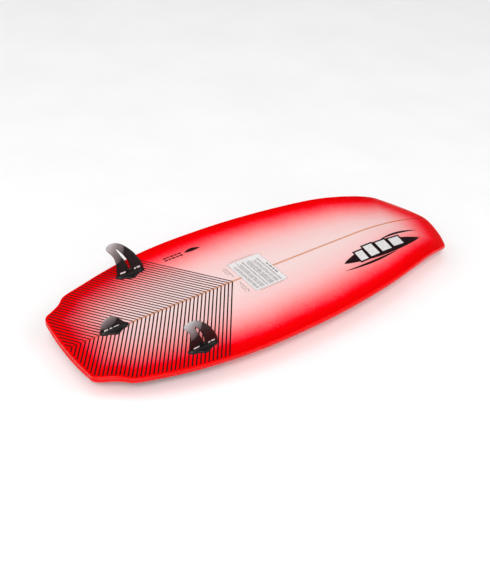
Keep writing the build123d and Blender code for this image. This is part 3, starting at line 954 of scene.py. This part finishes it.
def make_fins():
    black, smoke = fin_black_material(), fin_smoke_material()
    white = ink_material("fin_print", srgb(205, 200, 200), srgb(232, 228, 228))
    for name, (x, y, side) in FINS.items():
        body, length = name + "_fin", SIDE_FOOT if side else CENTRE_FOOT
        seat = fin_seat(x, y)
        lean = seat @ Matrix.Translation((0, 0, FOOT_Z)) @ Matrix.Rotation(math.radians(-side * CANT), 4, "X")
        plan, tris, half, is_smoke, height = blade_pieces(side)
        root = blade_object(name + "_root", plan, tris[~is_smoke], half, lean, length)
        tip = blade_object(name + "_fin_smoke", plan, tris[is_smoke], half, lean, length)
        store_fade(tip, lean, length, height, side)
        foot = joined(name + "_fin_moulding", [foot_mesh(length, 3.4), tab_mesh(-TAB_SPACING / 2),
                                               tab_mesh(TAB_SPACING / 2)], seat)
        merge_into(foot, root)
        dress(foot, black, body, [name + "_fin_base"])
        dress(tip, smoke, body, [name + "_fin_tip"])

        def half_at(u, w, plan=plan, half=half):
            near = np.argsort(np.linalg.norm(plan - [u, w], axis=1))[:3]
            return float(half[near].mean())

        fin_print(name + "_fin_marks", fin_marks(side), half_at, lean, length, white, body)


def fin_marks(side):
    """Plain slanted bars in place of the small print on a fin."""
    if side:
        return [bar(14, 32, 10.5, 15.5, 0.6), bar(61, 67, 11, 16.5, 0.5), bar(71, 82, 12, 17.5, -1.0)]
    return [bar(12, 24, 6.5, 12, 0.5), bar(29, 37, 7.5, 12, 0.5), bar(41, 58, 9, 12, 0.5)]


def store_fade(obj, matrix, length, height, side):
    """0 where the smoke resin meets the black, 1 at the clear tip."""
    inverse = np.array(matrix.inverted())
    co = np.array([v.co for v in obj.data.vertices]) * 1000 - [-LENGTH / 2, 0, LIFT]
    local = co @ inverse[:3, :3].T + inverse[:3, 3]
    u, w = local[:, 0] + length / 2, local[:, 2]
    if side:
        fade = 0.62 * (w - 38) / (height - 38) + 0.55 * (34 - u) / 56
    else:
        fade = 0.6 * (w - 16) / (height - 16) + 0.4 * (50 - u) / 50
    attribute = obj.data.attributes.new("tip_fade", "FLOAT", "POINT")
    attribute.data.foreach_set("value", np.clip(fade, 0, 1).astype(np.float32))


def merge_into(target, other):
    bm = bmesh.new()
    bm.from_mesh(target.data)
    bm.from_mesh(other.data)
    bm.to_mesh(target.data)
    bm.free()
    bpy.data.objects.remove(other)


# ---------------------------------------------------------------- deck grip

PAD_THICK, PAD_GAP, PAD_BEVEL, GROOVE = 5.0, 0.3, 2.2, 1.3
PADS = {"rear": [(96, 70), (372, 70), (372, 230), (140, 178), (96, 160)],
        "front": [(520, 70), (1010, 70), (1010, 168), (520, 190)]}
CENTRE_PAD_HALF, PAD_CORNER = 62.0, 14.0
LATTICE_PITCH, LATTICE_MARGIN, GROOVE_HALF = 24.0, 7.0, 2.6
KICK_X, KICK_HALF, KICK_CORNER = (34.0, 88.0), 100.0, 16.0


def rounded_polygon(corners, radius, spacing=5.0):
    """Closed polygon with each corner rounded by an arc."""
    c = np.array(corners, float)
    out = []
    for i in range(len(c)):
        before, here, after = c[i - 1], c[i], c[(i + 1) % len(c)]
        a, b = before - here, after - here
        a, b = a / np.linalg.norm(a), b / np.linalg.norm(b)
        half = math.acos(np.clip(a @ b, -1, 1)) / 2
        reach = radius / math.tan(half)
        middle = here + (a + b) / np.linalg.norm(a + b) * radius / math.sin(half)
        start, stop = here + a * reach - middle, here + b * reach - middle
        turn = math.acos(np.clip(start @ stop / radius**2, -1, 1))
        for k in range(7):
            t = k / 6
            mix = (start * math.sin((1 - t) * turn) + stop * math.sin(t * turn)) / math.sin(turn)
            out.append(middle + mix)
    out = np.array(out)
    length = np.linalg.norm(np.diff(np.vstack([out, out[:1]]), axis=0), axis=1).sum()
    return resampled(np.vstack([out, out[:1]]), int(length / spacing), closed=True)


def pad_object(name, loop):
    """Grip pad under the deck: eased edges and a lattice of moulded grooves."""
    plan, tris = triangulated(loop, [], 3.2)
    top = deck_z(plan[:, 0], plan[:, 1]) - PAD_GAP
    room = distance_to(plan, loop)
    ease = PAD_BEVEL * (1 - rounded_profile(room, PAD_BEVEL * 1.6))
    falling, rising = plan[:, 0] + plan[:, 1], plan[:, 0] - plan[:, 1]
    away = [np.abs(line % LATTICE_PITCH - LATTICE_PITCH / 2) for line in (falling, rising)]
    lattice = np.minimum(*away)
    groove = GROOVE * np.clip(1 - lattice / GROOVE_HALF, 0, 1) * (room > LATTICE_MARGIN)
    low = top - PAD_THICK + ease + groove
    points, faces = thick_sheet(tris, np.column_stack([plan, low]), np.column_stack([plan, top]))
    return tidy_mesh(new_object(name, to_row(points), faces))


def make_pads():
    grip = grip_foam_material()
    for where, corners in PADS.items():
        left = rounded_polygon(corners, PAD_CORNER)
        xs = (corners[0][0], corners[1][0])
        middle = [(xs[0], -CENTRE_PAD_HALF), (xs[1], -CENTRE_PAD_HALF), (xs[1], CENTRE_PAD_HALF),
                  (xs[0], CENTRE_PAD_HALF)]
        loops = {"left": left, "right": left[::-1] * [1, -1], "centre": rounded_polygon(middle, PAD_CORNER)}
        for side, loop in loops.items():
            node = f"{where}_pad_{side}"
            obj = pad_object(node + "_foam", loop)
            dress(obj, grip, "board", [node])
    kick = kick_object()
    dress(kick, grip, "board", ["tail_kick"])


def kick_object():
    """Tail kick: a wedge across the tail that the board lies on, with eased edges."""
    (x0, x1), half = KICK_X, KICK_HALF
    loop = rounded_polygon([(x0, -half), (x1, -half), (x1, half), (x0, half)], KICK_CORNER)
    plan, tris = triangulated(loop, [], 3.4)
    top = deck_z(plan[:, 0], plan[:, 1]) - PAD_GAP
    ground = -LIFT
    depth = np.interp(plan[:, 0], [x0, x0 + 10, x0 + 26, x1], [9, 0, 0, 10])
    ease = 3.0 * (1 - rounded_profile(distance_to(plan, loop), 5.0))
    flute = 0.9 * np.clip(1 - np.abs((plan[:, 1] + 6) % 12 - 6) / 2.4, 0, 1) * (plan[:, 0] > 63)
    low = np.minimum(ground + depth + ease + flute, top - 1.0)
    points, faces = thick_sheet(tris, np.column_stack([plan, low]), np.column_stack([plan, top]))
    return tidy_mesh(new_object("tail_kick_foam", to_row(points), faces))


# ---------------------------------------------------------------- inner pieces, stage, camera

def dress_cad_nodes():
    foam = bead_foam_material()
    wood = plain_grain("stringer_wood", srgb(186, 134, 80), srgb(222, 176, 120), 40.0, (0.5, 0.7), 0.2,
                       stretch=(1, 12, 12))
    plastic = plain_grain("box_plastic", srgb(20, 20, 22), srgb(40, 40, 43), 220.0, (0.4, 0.6))
    steel = plain_grain("spring_steel", srgb(150, 150, 154), srgb(190, 190, 194), 500.0, (0.2, 0.4), 0.15,
                        metal=1.0, stretch=(0.2, 4, 4))
    rubber = plain_grain("gasket_rubber", srgb(18, 17, 18), srgb(36, 35, 36), 400.0, (0.5, 0.75), 0.2)
    chosen = {"core": foam, "stringer": wood, "box_springs": steel, "fin_box": plastic, "gasket": rubber}
    for node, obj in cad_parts.items():
        for word, material in chosen.items():
            if word in node:
                obj.data.materials.clear()
                obj.data.materials.append(material)


def area_light(name, place, size, power):
    """A round soft light aimed at the middle of the board."""
    light = bpy.data.lights.new(name, "AREA")
    light.shape, light.size, light.energy = "DISK", size, power
    obj = bpy.data.objects.new(name, light)
    bpy.context.scene.collection.objects.link(obj)
    obj.location = place
    obj.rotation_mode = "QUATERNION"
    obj.rotation_quaternion = (-Vector(place)).to_track_quat("-Z", "Y")


def make_stage():
    size, z = 40.0, -0.0005
    points = [(-size, -size, z), (size, -size, z), (size, size, z), (-size, size, z)]
    floor = new_object("floor", points, [(0, 1, 2, 3)], smooth=False)
    floor.data.materials.append(floor_material())
    area_light("key", (-5.2, -6.4, 8.4), 4.0, 780)
    area_light("fill", (4.8, -5.6, 6.8), 6.0, 160)
    area_light("side", (-8.0, 3.0, 6.4), 5.0, 120)
    area_light("top", (-1.2, 0.4, 10.0), 6.0, 140)
    bpy.context.scene.world = studio_world()
    bpy.context.scene.view_settings.view_transform = "Standard"


def studio_world():
    """Pale studio walls, with a dark flag on the far right that keeps glare off the board."""
    world = bpy.data.worlds.new("studio")
    world.use_nodes = True
    tree = world.node_tree
    direction = tree.nodes.new("ShaderNodeTexCoord").outputs["Generated"]
    towards = tree.nodes.new("ShaderNodeVectorMath")
    towards.operation = "DOT_PRODUCT"
    towards.inputs[1].default_value = (0.62, 0.74, 0.26)
    tree.links.new(direction, towards.inputs[0])
    strength = tree.nodes.new("ShaderNodeMapRange")
    strength.interpolation_type = "SMOOTHSTEP"
    for name, value in {"From Min": 0.35, "From Max": 0.75, "To Min": 0.6, "To Max": 0.04}.items():
        strength.inputs[name].default_value = value
    tree.links.new(towards.outputs["Value"], strength.inputs["Value"])
    tree.links.new(strength.outputs[0], tree.nodes["Background"].inputs["Strength"])
    tree.nodes["Background"].inputs["Color"].default_value = (1, 1, 1, 1)
    return world


def make_camera():
    """The photograph's view, set in the board's own axes and tipped with its rest slope."""
    azimuth, elevation, roll = math.radians(-38.73), math.radians(37.39), math.radians(4.28)
    focal_px, long_side_px, sensor = 870.0, 579.0, 36.0
    back = Vector((math.sin(azimuth) * math.cos(elevation), -math.cos(azimuth) * math.cos(elevation),
                   math.sin(elevation)))
    right = Vector((math.cos(azimuth), math.sin(azimuth), 0))
    up = back.cross(right)
    across = math.cos(roll) * right + math.sin(roll) * up
    upright = math.cos(roll) * up - math.sin(roll) * right
    axes = Matrix((across, upright, back)).transposed().to_4x4()
    axes.translation = (-716.0, -1636.0, 1549.0)
    tip = Matrix.Rotation(-math.atan(REST_SLOPE), 4, "Y")
    placed = Matrix.Translation((-LENGTH / 2, 0, LIFT)) @ tip @ axes
    placed.translation = placed.translation / 1000
    data = bpy.data.cameras.new("camera")
    data.sensor_width, data.lens = sensor, focal_px / long_side_px * sensor
    data.clip_start, data.clip_end = 0.05, 120
    camera = bpy.data.objects.new("camera", data)
    bpy.context.scene.collection.objects.link(camera)
    camera.matrix_world = placed
    bpy.context.scene.camera = camera


make_camera()
make_skins()
make_graphics()
make_label()
make_fins()
make_pads()
dress_cad_nodes()
make_stage()
